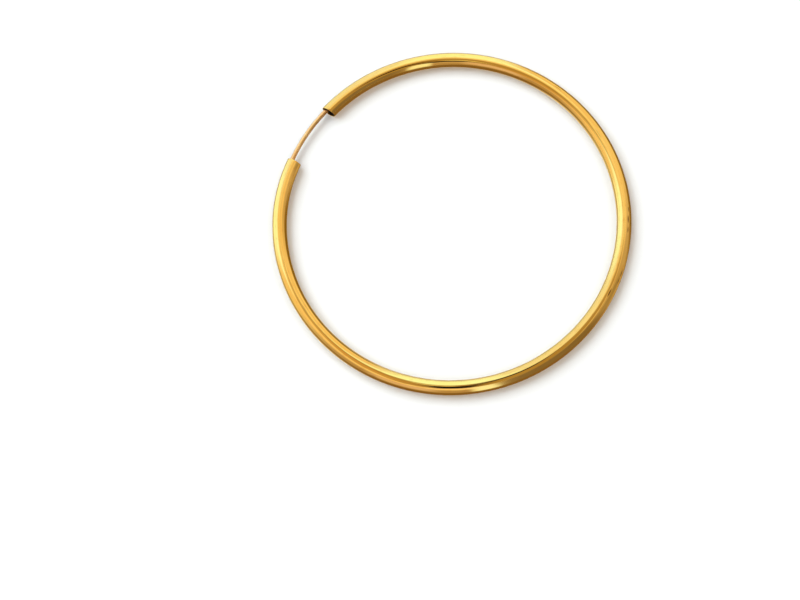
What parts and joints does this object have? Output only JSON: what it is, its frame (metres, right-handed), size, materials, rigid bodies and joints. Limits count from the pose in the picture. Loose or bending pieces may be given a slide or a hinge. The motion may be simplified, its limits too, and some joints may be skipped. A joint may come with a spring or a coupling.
{
  "type": "hoop earring",
  "caption": "Hollow hoop earring of polished yellow gold tube, closed by a springy ear wire that slides into the tube's open end, lying on its side.",
  "frame": {"origin": "centre of the ring, on the surface that the ring lies on", "axes": "+Z along the ring's axis, away from the surface; +Y from the centre towards the ear wire, which is the top as worn; the tube's open end is on the +X side of the gap"},
  "size_m": [0.06, 0.0595, 0.0025],
  "materials": {
    "yellow_gold": "polished yellow gold",
    "pale_gold_wire": "drawn wire of a paler, pinker gold"
  },
  "bodies": {
    "root": {"hoop_tube": "yellow_gold", "ear_wire": "pale_gold_wire"}
  },
  "joints": []
}
